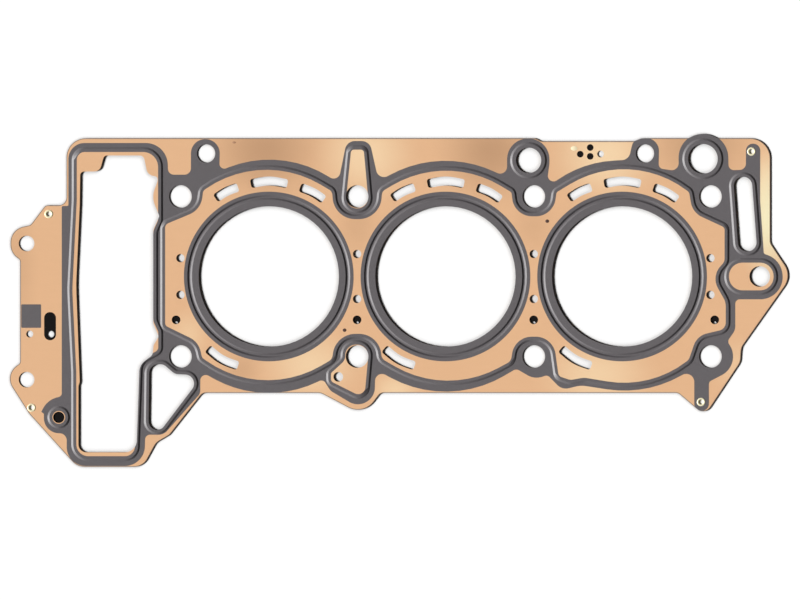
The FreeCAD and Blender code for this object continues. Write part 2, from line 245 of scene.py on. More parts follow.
def surface_height(x: float, y: float) -> float:
    """Find the level of the sheet that is seen from above at a place.

    Args:
        x: Place along the bores in millimetres.
        y: Place across them in millimetres.

    Returns:
        The level in millimetres.
    """
    levels = []
    above = (x * MM, y * MM, RAY_HEIGHT)
    for node in ("upper_bead_layer", "base_layer"):
        hit, spot, _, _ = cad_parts[node].ray_cast(above, (0.0, 0.0, -1.0))
        if hit:
            levels.append(spot.z / MM)
    return max(levels)


def put_in_scene(name: str, bm: bmesh.types.BMesh) -> bpy.types.Object:
    """Make an object of a finished mesh.

    Args:
        name: Name of the object and of its mesh.
        bm: The mesh, which is freed.

    Returns:
        The object.
    """
    mesh = bpy.data.meshes.new(name)
    bm.to_mesh(mesh)
    bm.free()
    item = bpy.data.objects.new(name, mesh)
    bpy.context.scene.collection.objects.link(item)
    return item


def new_piece(name: str, bm: bmesh.types.BMesh, material: bpy.types.Material,
              smooth: float) -> bpy.types.Object:
    """Make a piece of a finished mesh.

    Args:
        name: Piece name.
        bm: The piece's mesh, which is freed.
        material: Finish of the whole piece.
        smooth: Angle in degrees below which edges are shaded round.

    Returns:
        The object, riding on the one body.
    """
    piece = put_in_scene(name, bm)
    piece.data.materials.append(material)
    piece.data.shade_smooth()
    piece.data.set_sharp_from_angle(angle=math.radians(smooth))
    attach(piece, "root")
    return piece


# Fixed values of a node's inputs, by the input's name or number
Values = dict[str | int, float | tuple[float, ...]]


def set_values(node: bpy.types.Node, values: Values) -> None:
    """Set fixed values of a node's inputs."""
    for socket, value in values.items():
        node.inputs[socket].default_value = value


def add_node(tree: bpy.types.NodeTree, kind: str, values: Values | None = None,
             **settings: object) -> bpy.types.Node:
    """Add a node to a tree.

    Args:
        tree: Tree that takes the node.
        kind: Blender's name of the node type.
        values: Fixed values of the node's inputs.
        **settings: Attributes of the node.

    Returns:
        The node.
    """
    node = tree.nodes.new(kind)
    for key, value in settings.items():
        setattr(node, key, value)
    set_values(node, values or {})
    return node


class Group:
    """Shader node group with named sockets."""

    def __init__(self, name: str, inputs: dict[str, str], outputs: dict[str, str]) -> None:
        """Make the group with its sockets.

        Args:
            name: Name of the group.
            inputs: Socket type of each input by its name.
            outputs: Socket type of each output by its name.
        """
        self.tree = bpy.data.node_groups.new(name, "ShaderNodeTree")
        for way, sockets in (("INPUT", inputs), ("OUTPUT", outputs)):
            for socket, kind in sockets.items():
                self.tree.interface.new_socket(socket, in_out=way, socket_type=kind)
        self.source = self.tree.nodes.new("NodeGroupInput")
        self.sink = self.tree.nodes.new("NodeGroupOutput")

    def add(self, kind: str, values: Values | None = None, **settings: object) -> bpy.types.Node:
        """Add a node with its fixed values and settings."""
        return add_node(self.tree, kind, values, **settings)

    def link(self, start: bpy.types.NodeSocket, end: bpy.types.NodeSocket) -> None:
        """Join two sockets."""
        self.tree.links.new(start, end)


# Noise in the coats' grain: its detail, its scales as shares of the fine noise's scale, and what
# the mottle and the broad noise give to the mask
FINE_DETAIL = 3.0
BROAD_DETAIL = 2.0
BROAD_SCALE = 0.012
MOTTLE_SCALE = 0.4
MOTTLE_WEIGHT = 0.6
BROAD_WEIGHT = 0.4


def grain_group() -> bpy.types.NodeTree:
    """Make the fine rolling grain of a coated sheet, as a height and a soft mask.

    Returns:
        The node group.
    """
    group = Group(
        "coat_grain",
        {"Vector": "NodeSocketVector", "Scale": "NodeSocketFloat", "Stretch": "NodeSocketVector"},
        {"Height": "NodeSocketFloat", "Mask": "NodeSocketFloat"},
    )
    stretched = group.add("ShaderNodeVectorMath", operation="MULTIPLY")
    fine = group.add("ShaderNodeTexNoise", {"Detail": FINE_DETAIL})
    broad = group.add("ShaderNodeTexNoise", {"Detail": BROAD_DETAIL})
    mottle = group.add("ShaderNodeTexNoise", {"Detail": BROAD_DETAIL})
    slow = group.add("ShaderNodeMath", {1: BROAD_SCALE}, operation="MULTIPLY")
    middle = group.add("ShaderNodeMath", {1: MOTTLE_SCALE}, operation="MULTIPLY")
    both = group.add("ShaderNodeMath", {1: MOTTLE_WEIGHT}, operation="MULTIPLY_ADD")
    ramp = group.add("ShaderNodeMapRange", {"To Max": BROAD_WEIGHT})
    group.link(group.source.outputs["Vector"], stretched.inputs[0])
    group.link(group.source.outputs["Stretch"], stretched.inputs[1])
    group.link(stretched.outputs["Vector"], fine.inputs["Vector"])
    group.link(group.source.outputs["Scale"], fine.inputs["Scale"])
    group.link(group.source.outputs["Vector"], broad.inputs["Vector"])
    group.link(group.source.outputs["Scale"], slow.inputs[0])
    group.link(slow.outputs[0], broad.inputs["Scale"])
    group.link(stretched.outputs["Vector"], mottle.inputs["Vector"])
    group.link(group.source.outputs["Scale"], middle.inputs[0])
    group.link(middle.outputs[0], mottle.inputs["Scale"])
    group.link(mottle.outputs["Fac"], both.inputs[0])
    group.link(broad.outputs["Fac"], ramp.inputs["Value"])
    group.link(ramp.outputs["Result"], both.inputs[2])
    group.link(fine.outputs["Fac"], group.sink.inputs["Height"])
    group.link(both.outputs[0], group.sink.inputs["Mask"])
    return group.tree


def soft_spot_group() -> bpy.types.NodeTree:
    """Make the mask of a soft oval patch of painted sheen: one at its centre and zero outside its
    half widths.

    Returns:
        The node group.
    """
    group = Group(
        "soft_spot",
        {"Vector": "NodeSocketVector", "Centre": "NodeSocketVector", "Size": "NodeSocketVector"},
        {"Mask": "NodeSocketFloat"},
    )
    shifted = group.add("ShaderNodeVectorMath", operation="SUBTRACT")
    scaled = group.add("ShaderNodeVectorMath", operation="DIVIDE")
    length = group.add("ShaderNodeVectorMath", operation="LENGTH")
    ramp = group.add("ShaderNodeMapRange", {"From Min": 1.0, "From Max": 0.0},
                     interpolation_type="SMOOTHSTEP")
    group.link(group.source.outputs["Vector"], shifted.inputs[0])
    group.link(group.source.outputs["Centre"], shifted.inputs[1])
    group.link(shifted.outputs["Vector"], scaled.inputs[0])
    group.link(group.source.outputs["Size"], scaled.inputs[1])
    group.link(scaled.outputs["Vector"], length.inputs[0])
    group.link(length.outputs["Value"], ramp.inputs["Value"])
    group.link(ramp.outputs["Result"], group.sink.inputs["Mask"])
    return group.tree


def crisp_relief_group() -> bpy.types.NodeTree:
    """Make slopes look crisper: the surface's own normal, leaning further over by a factor.

    Returns:
        The node group.
    """
    group = Group("crisp_relief", {"Lean": "NodeSocketFloat"}, {"Normal": "NodeSocketVector"})
    own = group.add("ShaderNodeTexCoord")
    factors = group.add("ShaderNodeCombineXYZ", {"Z": 1.0})
    leaning = group.add("ShaderNodeVectorMath", operation="MULTIPLY")
    unit = group.add("ShaderNodeVectorMath", operation="NORMALIZE")
    turned = group.add("ShaderNodeVectorTransform", vector_type="NORMAL",
                       convert_from="OBJECT", convert_to="WORLD")
    group.link(group.source.outputs["Lean"], factors.inputs["X"])
    group.link(group.source.outputs["Lean"], factors.inputs["Y"])
    group.link(own.outputs["Normal"], leaning.inputs[0])
    group.link(factors.outputs["Vector"], leaning.inputs[1])
    group.link(leaning.outputs["Vector"], unit.inputs[0])
    group.link(unit.outputs["Vector"], turned.inputs["Vector"])
    group.link(turned.outputs["Vector"], group.sink.inputs["Normal"])
    return group.tree


Colour = tuple[float, float, float]


@dataclass(frozen=True)
class Recipes:
    """Node groups that the finishes share."""

    grain: bpy.types.NodeTree
    soft_spot: bpy.types.NodeTree
    crisp_relief: bpy.types.NodeTree


class PaintedSheen(Enum):
    """Painted sheen: tones that stand in for lighter and darker reflections on the lacquer."""

    DEEP = (0.60, 0.345, 0.190)
    PALE = (0.99, 0.72, 0.44)
    CREAM = (1.0, 0.90, 0.58)


@dataclass(frozen=True)
class SheenPatch:
    """Soft oval patch of painted sheen, a reflection painted into the lacquer's colour, in
    millimetres.
    """

    x: float
    y: float
    half_width: float
    half_height: float
    sheen: PaintedSheen
    strength: float


@dataclass(frozen=True)
class Finish:
    """Coated sheet metal: tone with broad grain, patches of painted sheen, gloss and fine bump."""

    name: str
    colour: Colour
    second: Colour
    metallic: float
    roughness: float
    roughness_spread: float = 0.05
    coat: float = 0.0
    coat_roughness: float = 0.3
    specular: float = 0.5
    grain_scale: float = 1500.0
    grain_stretch: tuple[float, float, float] = (1.0, 1.0, 1.0)
    bump: float = 0.1
    bump_distance: float = 0.00002
    lean: float = 1.0
    spots: tuple[SheenPatch, ...] = ()

    def build(self, recipes: Recipes) -> bpy.types.Material:
        """Make the material.

        Args:
            recipes: The shared node groups.

        Returns:
            The material.
        """
        material = bpy.data.materials.new(self.name)
        material.use_nodes = True
        tree = material.node_tree
        shader = tree.nodes["Principled BSDF"]
        set_values(shader, {
            "Metallic": self.metallic, "Coat Weight": self.coat,
            "Coat Roughness": self.coat_roughness, "Specular IOR Level": self.specular,
        })
        place = add_node(tree, "ShaderNodeTexCoord").outputs["Object"]
        grain = {"Scale": self.grain_scale, "Stretch": self.grain_stretch}
        texture = add_node(tree, "ShaderNodeGroup", grain, node_tree=recipes.grain)
        tree.links.new(place, texture.inputs["Vector"])
        tones = {"A": (*self.colour, 1.0), "B": (*self.second, 1.0)}
        tone = add_node(tree, "ShaderNodeMix", tones, data_type="RGBA")
        tree.links.new(texture.outputs["Mask"], tone.inputs["Factor"])
        colour = tone.outputs["Result"]
        # Painted sheen: patches of painted reflection laid over the base colour
        for spot in self.spots:
            colour = self.lay_painted_sheen(tree, recipes.soft_spot, spot, place, colour)
        gloss = add_node(tree, "ShaderNodeMapRange", {
            "To Min": self.roughness - self.roughness_spread,
            "To Max": self.roughness + self.roughness_spread,
        })
        tree.links.new(texture.outputs["Height"], gloss.inputs["Value"])
        tree.links.new(gloss.outputs["Result"], shader.inputs["Roughness"])
        depth = {"Strength": self.bump, "Distance": self.bump_distance}
        bump = add_node(tree, "ShaderNodeBump", depth)
        tree.links.new(texture.outputs["Height"], bump.inputs["Height"])
        relief = add_node(tree, "ShaderNodeGroup", {"Lean": self.lean},
                          node_tree=recipes.crisp_relief)
        tree.links.new(relief.outputs["Normal"], bump.inputs["Normal"])
        tree.links.new(colour, shader.inputs["Base Color"])
        tree.links.new(bump.outputs["Normal"], shader.inputs["Normal"])
        return material

    def lay_painted_sheen(self, tree: bpy.types.NodeTree, group: bpy.types.NodeTree, spot: SheenPatch,
                 place: bpy.types.NodeSocket, under: bpy.types.NodeSocket) -> bpy.types.NodeSocket:
        """Lay one soft patch of painted sheen over a colour.

        Args:
            tree: The material's nodes.
            group: Group that gives the patch's mask.
            spot: The patch.
            place: Object coordinates.
            under: Colour below the patch.

        Returns:
            The colour with the patch on it.
        """
        mask = add_node(tree, "ShaderNodeGroup", {
            "Centre": (spot.x * MM, spot.y * MM, 0.0),
            "Size": (spot.half_width * MM, spot.half_height * MM, 1.0),
        }, node_tree=group)
        tree.links.new(place, mask.inputs["Vector"])
        amount = add_node(tree, "ShaderNodeMath", {1: spot.strength}, operation="MULTIPLY")
        tree.links.new(mask.outputs["Mask"], amount.inputs[0])
        mix = add_node(tree, "ShaderNodeMix", {"B": (*spot.sheen.value, 1.0)}, data_type="RGBA")
        tree.links.new(amount.outputs[0], mix.inputs["Factor"])
        tree.links.new(under, mix.inputs["A"])
        return mix.outputs["Result"]


# Painted sheen on the copper lacquer: lighter, darker and cream patches that stand in for its
# reflections
LACQUER_PAINTED_SHEEN = (
    SheenPatch(-108, 76, 44, 38, PaintedSheen.DEEP, 1.0),
    SheenPatch(-48, 73, 36, 34, PaintedSheen.PALE, 0.9),
    SheenPatch(27, 75, 38, 38, PaintedSheen.DEEP, 1.0),
    SheenPatch(96, 73, 38, 34, PaintedSheen.PALE, 1.0),
    SheenPatch(153, 79, 40, 30, PaintedSheen.DEEP, 0.8),
    SheenPatch(194, 52, 17, 36, PaintedSheen.PALE, 1.0),
    SheenPatch(194, 34, 22, 44, PaintedSheen.CREAM, 1.0),
    SheenPatch(-81, -53, 36, 28, PaintedSheen.PALE, 0.8),
    SheenPatch(91, -59, 42, 28, PaintedSheen.PALE, 0.8),
    SheenPatch(-30, -68, 20, 15, PaintedSheen.PALE, 0.8),
    SheenPatch(174, -53, 20, 20, PaintedSheen.PALE, 0.4),
    SheenPatch(-123, -56, 17, 17, PaintedSheen.DEEP, 0.5),
    SheenPatch(-53, 30, 17, 22, PaintedSheen.DEEP, 0.35),
    SheenPatch(53, 30, 17, 22, PaintedSheen.DEEP, 0.3),
    SheenPatch(-256, 5, 14, 50, PaintedSheen.DEEP, 0.35),
    SheenPatch(-154, -35, 15, 20, PaintedSheen.PALE, 0.5),
)
COPPER_LACQUER = Finish(
    name="copper_lacquer", colour=(0.865, 0.518, 0.292), second=(0.820, 0.488, 0.270), metallic=0.1,
    roughness=0.45, coat=0.1, grain_scale=900.0, grain_stretch=(0.25, 1.0, 1.0), bump=0.12,
    spots=LACQUER_PAINTED_SHEEN,
)
# Worn steel and painted shade: its dark colour also stands in for the shade of the rolled outer
# edge
WORN_STEEL_AND_EDGE_SHADE = Finish(
    name="worn_steel_and_edge_shade", colour=(0.27, 0.185, 0.132), second=(0.22, 0.150, 0.106), metallic=0.1,
    roughness=0.5, grain_scale=2500.0, bump=0.1,
)
SEAL_PRINT = Finish(
    name="seal_print", colour=(0.082, 0.074, 0.078), second=(0.104, 0.093, 0.099), metallic=0.0,
    roughness=0.54, specular=1.0, grain_scale=1400.0, bump=0.15, lean=1.7,
)
BLACK_COAT = Finish(
    name="black_coat", colour=(0.004, 0.003, 0.003), second=(0.007, 0.006, 0.006), metallic=0.0,
    roughness=0.6, specular=0.1, grain_scale=1400.0, bump=0.2,
)
EYELET_PLATING = Finish(
    name="eyelet_plating", colour=(0.95, 0.87, 0.60), second=(0.91, 0.83, 0.55), metallic=0.15,
    roughness=0.4, grain_scale=2500.0, bump=0.05,
)
DARK_MARK = Finish(
    name="dark_mark", colour=(0.070, 0.034, 0.024), second=(0.095, 0.048, 0.034), metallic=0.0,
    roughness=0.5, grain_scale=2500.0, bump=0.1,
)
BROWN_MARK = Finish(
    name="brown_mark", colour=(0.47, 0.25, 0.14), second=(0.43, 0.23, 0.13), metallic=0.0,
    roughness=0.5, grain_scale=2500.0, bump=0.1,
)
PALE_MARK = Finish(
    name="pale_mark", colour=(0.98, 0.86, 0.58), second=(0.92, 0.78, 0.50), metallic=0.0,
    roughness=0.45, grain_scale=2500.0, bump=0.1,
)


@dataclass
class SealPrint:
    """Seal printed on the pressed sheet: a net round all passages, bore rings and a pad."""

    thickness: float = 0.03
    under: float = -1.0
    over: float = 2.0
    coolant_gap: float = 2.3
    island_gap: float = 2.2
    timing_gap: float = 2.4
    ring_radius: float = 50.9
    coolant_band: float = 23.9
    bolt_rim: float = 2.8
    island_rim: float = 2.5
    island_channel: float = 2.0
    island_width: float = 21.0
    island_length: float = 10.2
    pad_box: tuple[float, float, float, float] = (X0 - 95.5, X0 - 83.6, -30.8, -16.7)
    pad_rounding: float = 0.6
    blind_hole: tuple[float, float] = (X0 - 73.0, FOOT + 29.7)
    blind_window: float = 3.85
    blind_steps: int = 48
    smooth_below: float = 5.0

    def net_edge(self) -> Outline:
        """Draw up the outer edge of the net.

        Returns:
            The edge, clockwise from the timing opening's top left.
        """
        return Outline((
            (X0 - 67.2, EDGE - 2.8, 9.6),
            (X0 - 8.0, EDGE - 2.8, 13.2),
            (X0 - 7.4, EDGE - 21.8, 3.6),
            (X0 + 6.3, EDGE - 21.8, 3.9),
            (X0 + 6.3, EDGE - 0.5, 8.6),
            (X0 + 23.8, EDGE - 0.5, 8.6),
            (X0 + 23.3, EDGE - 19.6, 3.0),
            bow(BORES_X[0], 0.0, 69.8, 111.5, 57.7),
            (X1 - 11.3, TOP + 8.3, 4.2),
            (X1 - 6.2, EDGE - 1.6, 6.0),
            (X1 + 7.5, EDGE - 1.6, 6.0),
            (X1 + 12.9, TOP + 9.2, 4.8),
            bow(BORES_X[1], 0.0, 69.5, 118.7, 64.7),
            (X2 - 16.0, TOP + 11.3, 4.2),
            (X2 - 16.0, EDGE - 0.1, 12.6),
            (X2 + 9.5, EDGE - 0.1, 12.6),
            (X2 + 9.4, EDGE - 15.1, 8.4),
            (X2 + 7.5, TOP + 5.3, 3.6),
            bow(BORES_X[2], 0.0, 69.8, 124.5, 93),
            (X3 - 49.1, EDGE - 12.9, 5.4),
            (X3 - 46.0, EDGE + 0.2, 6.0),
            (X3 - 30.7, EDGE + 0.2, 7.8),
            (X3 - 31.1, EDGE - 18.0, 3.0),
            (X3 - 19.0, EDGE - 19.8, 4.2),
            (X3 - 19.3, EDGE + 3.0, 14.8),
            (X3 + 10.4, EDGE + 3.0, 14.8),
            (X3 + 10.9, EDGE - 19.2, 3.3),
            (X3 + 21.3, EDGE - 18.8, 3.9),
            (X3 + 21.3, EDGE - 3.2, 4.2),
            (X3 + 29.9, EDGE - 3.2, 4.2),
            (X3 + 29.8, TOP - 2.1, 36.0),
            (X3 + 32.0, 13.7, 1.5),
            bow(DOWEL_X, 0.0, 13.7, 70, 10),
            bow(DOWEL_X, 0.0, 13.7, 10, -90),
            (X3 + 14.9, -13.7, 2.7),
            (X3 + 14.9, LOW + 15.9, 7.2),
            (X3 + 10.1, LOW + 9.0, 3.0),
            bow(X3, LOW, 13.2, 35, -62),
            (X3 - 0.9, LOW - 15.2, 2.4),
            (X3 - 0.9, LOW - 32.6, 4.4),
            (X3 - 9.7, LOW - 32.6, 4.4),
            (X3 - 9.7, LOW - 7.0, 4.8),
            bow(BORES_X[2], 0.0, 69.0, -60, -97),
            (X2 + 28.4, LOW - 17.3, 15.0),
            (X2 + 17.0, LOW - 20.0, 7.2),
            (X2 + 8.3, LOW - 11.1, 2.7),
            (X2 + 0.5, LOW - 13.7, 10.8),
            (X2 - 10.5, LOW - 7.3, 3.6),
            bow(BORES_X[1], 0.0, 69.3, -59.5, -118),
            (X1 + 10.9, LOW - 7.7, 4.2),
            (X1 + 10.3, LOW - 36.2, 10.2),
            (X1 - 15.9, LOW - 20.6, 6.0),
            (X1 - 20.4, LOW - 13.6, 3.0),
            bow(BORES_X[0], 0.0, 69.6, -64, -119),
            (X0 + 11.9, LOW - 8.8, 3.3),
            (X0 + 11.9, LOW - 22.2, 4.8),
            (X0 - 10.1, FOOT + 19.2, 7.2),
            (X0 - 21.1, FOOT + 19.3, 3.0),
            (X0 - 21.7, FOOT + 0.5, 12.0),
            (X0 - 68.2, FOOT + 0.5, 11.4),
            (X0 - 68.2, FOOT + 20.1, 4.4),
            (X0 - 82.0, FOOT + 20.2, 9.3),
            (X0 - 81.9, LOW - 34.4, 0.5),
            (X0 - 83.5, LOW - 33.2, 0.5),
            (X0 - 79.5, LOW - 25.7, 13.0),
            (X0 - 71.2, LOW - 23.9, 2.4),
            (X0 - 71.2, TOP - 5.7, 0.9),
            (X0 - 67.2, TOP - 5.7, 0.9),
        ))

    def timing_bead(self) -> Outline:
        """Draw up the middle of the half bead round the timing opening.

        Returns:
            The bead's middle line.
        """
        return Outline((
            (X0 - 64.6, EDGE - 5.8, 7.2),
            (X0 - 11.0, EDGE - 5.8, 11.4),
            (X0 - 11.0, TOP - 14.7, 5.4),
            (X0 - 13.9, TOP - 21.3, 6.0),
            (X0 - 13.9, LOW + 21.9, 4.8),
            (X0 - 10.9, LOW + 15.3, 4.8),
            (X0 - 10.9, LOW + 2.4, 5.4),
            (X0 - 23.0, LOW - 4.2, 7.2),
            (X0 - 25.2, FOOT + 4.0, 8.4),
            (X0 - 64.9, FOOT + 4.0, 9.6),
            (X0 - 64.9, LOW - 9.3, 36.0),
            (X0 - 67.3, -8.1, 72.0),
            (X0 - 64.6, TOP - 2.1, 36.0),
        ))

    def coolant_bead(self) -> Outline:
        """Draw up the middle of the half bead round all bores and coolant passages.

        Returns:
            The bead's middle line.
        """
        outer = BORE_R + self.coolant_band
        plain = BOLT_R + self.bolt_rim
        island = BOLT_R + self.island_rim + self.island_channel
        first, middle, last = BORES_X
        return Outline((
            (X0 - 11.5, TOP - 15.3, 5.4),
            (X0 + 10.0, TOP - 6.3, 10.2),
            (X0 + 11.5, TOP + 4.8, 5.4),
            bow(first, 0.0, outer, 126, 60),
            (X1 - island - 1.6, TOP + 4.5, 6.0),
            *lobe(X1, TOP, 1, island),
            (X1 + island + 1.6, TOP + 4.5, 6.0),
            bow(middle, 0.0, outer, 120, 59),
            (X2 - plain - 1.6, TOP + 3.9, 4.8),
            *lobe(X2, TOP, 1, plain),
            (X2 + plain + 1.9, TOP + 3.9, 4.8),
            bow(last, 0.0, outer, 121, 52),
            (X3 - 10.7, TOP + 3.9, 5.4),
            (X3 - 8.6, TOP - 8.1, 9.6),
            (X3 + 10.8, TOP - 17.1, 4.8),
            (X3 + 10.8, 8.1, 7.2),
            (X3 + 3.4, -0.3, 9.0),
            (X3 + 11.5, -14.7, 12.0),
            (X3 + 11.5, LOW + 14.7, 7.2),
            (X3 - 6.2, LOW + 10.5, 8.4),
            (X3 - 11.0, LOW - 3.3, 7.2),
            bow(last, 0.0, outer, -52, -99),
            (X2 + 30.2, LOW - 15.0, 8.4),
            (X2 + 21.8, LOW - 16.5, 8.4),
            (X2 + 12.8, LOW - 13.5, 5.4),
            *lobe(X2, LOW, -1, plain),
            (X2 - plain - 1.9, LOW - 4.2, 7.2),
            bow(middle, 0.0, outer, -62, -117),
            (X1 + island + 1.2, LOW - 2.7, 7.2),
            *lobe(X1, LOW, -1, island),
            (X1 - island - 1.4, LOW - 3.0, 7.2),
            bow(first, 0.0, outer, -62, -124),
            (X0 + 10.9, LOW - 2.1, 5.4),
            (X0 + 8.8, LOW + 7.2, 9.6),
            (X0 - 11.5, LOW + 17.1, 4.8),
        ))

    def teardrop(self) -> Outline:
        """Draw up the middle of the half bead of the island that narrows towards the top edge.

        Returns:
            The bead's middle line.
        """
        reach = BOLT_R + self.island_rim
        return Outline((
            (X1 - 5.6, EDGE - 4.6, 4.2),
            (X1 + 6.0, EDGE - 4.6, 4.2),
            (X1 + reach + 0.3, TOP - reach, reach),
            (X1 - reach - 0.3, TOP - reach, reach),
        ))

    def kite(self) -> Outline:
        """Draw up the middle of the half bead of the island with the drain hole.

        Returns:
            The bead's middle line.
        """
        reach = BOLT_R + self.island_rim
        return Outline((
            (X1 - reach, LOW + reach, reach),
            (X1 + reach + 0.4, LOW + reach, reach),
            (X1 + 6.3, LOW - 28.4, 6.6),
            (X1 - 17.9, LOW - 16.3, 4.8),
            (X1 - 17.9, LOW - 9.0, 4.2),
            (X1 - reach, LOW - 1.2, 4.8),
        ))

    def stadium(self) -> Outline:
        """Draw up the middle of the half bead of the island round the dowel hole.

        Returns:
            The bead's middle line.
        """
        half = self.island_width / 2
        left = DOWEL_X - self.island_length - half
        return Outline(tuple(rounded_box(left, DOWEL_X + half, -half, half, half)))

    def windows(self) -> list[Shape]:
        """List the bare fields inside the net.

        Returns:
            Their edges.
        """
        bare = [self.teardrop(), self.kite(), self.stadium()]
        return [
            self.coolant_bead().grown(-self.coolant_gap),
            self.timing_bead().grown(-self.timing_gap),
            *(outline.grown(-self.island_gap) for outline in bare),
            Ring(*self.blind_hole, self.blind_window, self.blind_steps),
        ]

    def pad(self) -> Outline:
        """Outline of the printed pad at the timing end."""
        return Outline(tuple(rounded_box(*self.pad_box, self.pad_rounding)))

    def stencil(self, shapes: list[Shape]) -> bmesh.types.BMesh:
        """Build the upright block that lets the print through.

        Args:
            shapes: The field's edge, followed by its windows.

        Returns:
            The block as a closed mesh.
        """
        bm = bmesh.new()
        for shape in shapes:
            shape.draw(bm, self.under)
        bmesh.ops.triangle_fill(bm, use_beauty=True, use_dissolve=False, edges=bm.edges[:],
                                normal=(0, 0, 1))
        raise_faces(bm, self.over - self.under)
        return bm

    def print_piece(self, name: str, shapes: list[Shape],
                    ink: bpy.types.Material) -> bpy.types.Object:
        """Print one field on the sheet.

        Args:
            name: Piece name.
            shapes: The field's edge, followed by its windows.
            ink: The print's finish.

        Returns:
            The printed piece.
        """
        skin = upper_face()
        raise_faces(skin, self.thickness)
        body = put_in_scene(f"{name}_skin", skin)
        block = put_in_scene(f"{name}_stencil", self.stencil(shapes))
        cut = body.modifiers.new("print", "BOOLEAN")
        cut.operation = "INTERSECT"
        cut.solver = "EXACT"
        cut.object = block
        graph = bpy.context.evaluated_depsgraph_get()
        printed = bmesh.new()
        printed.from_mesh(bpy.data.meshes.new_from_object(body.evaluated_get(graph)))
        for part in (body, block):
            bpy.data.objects.remove(part)
        bmesh.ops.remove_doubles(printed, verts=printed.verts, dist=WELD)
        return new_piece(name, printed, ink, self.smooth_below)

    def build(self, ink: bpy.types.Material) -> list[bpy.types.Object]:
        """Print the net, the bore rings and the pad.

        Args:
            ink: Finish of the print.

        Returns:
            The printed pieces.
        """
        fields = {"passage_seal_print": [self.net_edge(), *self.windows()]}
        for number, x in enumerate(BORES_X, 1):
            fields[f"bore_seal_print_{number}"] = [Ring(x, 0.0, self.ring_radius)]
        fields["pad_print"] = [self.pad()]
        return [self.print_piece(name, shapes, ink) for name, shapes in fields.items()]


@dataclass
class WornShadedEdge:
    """Dark band on the outer edge: worn lacquer and painted shade of the rolled edge."""

    width: float = 0.4
    rise: float = 0.012
    smooth_below: float = 30.0

    def outer_loop(self, bm: bmesh.types.BMesh) -> set[bmesh.types.BMVert]:
        """Follow the outer edge of a sheet, starting at its end on the timing side.

        Args:
            bm: The sheet as a surface.

        Returns:
            The points of its outer edge.
        """
        found = {min((v for v in bm.verts if v.is_boundary), key=lambda v: v.co.x)}
        fresh = found
        while fresh:
            edges = {e for v in fresh for e in v.link_edges if e.is_boundary}
            fresh = {v for e in edges for v in e.verts} - found
            found = found | fresh
        return found

    def build(self, steel: bpy.types.Material) -> list[bpy.types.Object]:
        """Lay the band of wear and painted edge shade.

        Args:
            steel: Finish of the band, worn steel with painted edge shade.

        Returns:
            The band, as the one piece of a list.
        """
        bm = upper_face()
        inset = bmesh.ops.inset_region(bm, faces=bm.faces[:], thickness=self.width * MM, depth=0.0,
                                       use_boundary=True, use_even_offset=True)
        outer = self.outer_loop(bm)
        band = {f for f in inset["faces"] if not outer.isdisjoint(f.verts)}
        bmesh.ops.delete(bm, geom=[f for f in bm.faces if f not in band], context="FACES")
        raise_faces(bm, self.rise)
        return [new_piece("worn_and_shaded_edge", bm, steel, self.smooth_below)]


@dataclass
class Eyelets:
    """Four tubular rivets with rolled upper flanges and lower flanges flush in the base layer.

    The roll's three heights are shares of its rise, and its widths are taken from its edges.
    """

    places: tuple[tuple[float, float], ...] = (
        (X0 - 79.0, TOP - 10.5), (X0 - 89.4, LOW - 30.7),
        (X3 + 24.6, EDGE - 7.9), (X3 - 5.6, LOW - 27.3),
    )
    bore: float = 1.5
    wall: float = 0.5
    flange: float = 2.5
    foot: float = 3.0
    rise: float = 0.3
    sink: float = 0.3
    rim_height: float = 0.35
    shoulder_height: float = 0.8
    lip_height: float = 0.55
    shoulder_width: float = 0.15
    crown_width: float = 0.4
    lip_width: float = 0.3
    steps: int = 48
    smooth_below: float = 40.0

    def section(self, bm: bmesh.types.BMesh) -> list[bmesh.types.BMEdge]:
        """Draw the rivet's half section.

        Args:
            bm: Mesh that takes the section.

        Returns:
            The section's edges.
        """
        barrel = self.bore + self.wall
        points = (
            (self.bore, BASE_BOTTOM), (self.foot, BASE_BOTTOM),
            (barrel, BASE_BOTTOM + self.sink), (barrel, LOW_TOP), (self.flange, LOW_TOP),
            (self.flange, LOW_TOP + self.rise * self.rim_height),
            (self.flange - self.shoulder_width, LOW_TOP + self.rise * self.shoulder_height),
            (self.flange - self.crown_width, LOW_TOP + self.rise),
            (self.bore + self.lip_width, LOW_TOP + self.rise),
            (self.bore, LOW_TOP + self.rise * self.lip_height),
        )
        verts = [bm.verts.new((r * MM, 0, z * MM)) for r, z in points]
        return [bm.edges.new((verts[i - 1], verts[i])) for i in range(len(verts))]

    def build(self, plating: bpy.types.Material) -> list[bpy.types.Object]:
        """Roll the four rivets.

        Args:
            plating: Finish of the rivets.

        Returns:
            The rivets.
        """
        pieces = []
        for number, (x, y) in enumerate(self.places, 1):
            bm = bmesh.new()
            edges = self.section(bm)
            bmesh.ops.spin(bm, geom=edges, cent=(0, 0, 0), axis=(0, 0, 1), angle=math.tau,
                           steps=self.steps, use_merge=True)
            bmesh.ops.remove_doubles(bm, verts=bm.verts, dist=WELD)
            bmesh.ops.recalc_face_normals(bm, faces=bm.faces)
            bmesh.ops.translate(bm, verts=bm.verts, vec=(x * MM, y * MM, 0))
            piece = new_piece(f"eyelet_{number}", bm, plating, self.smooth_below)
            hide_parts("eyelets")
            pieces.append(piece)
        return pieces


@dataclass(frozen=True)
class Mark:
    """Small shallow oval mark on a sheet, in millimetres."""

    name: str
    x: float
    y: float
    half_width: float
    half_height: float


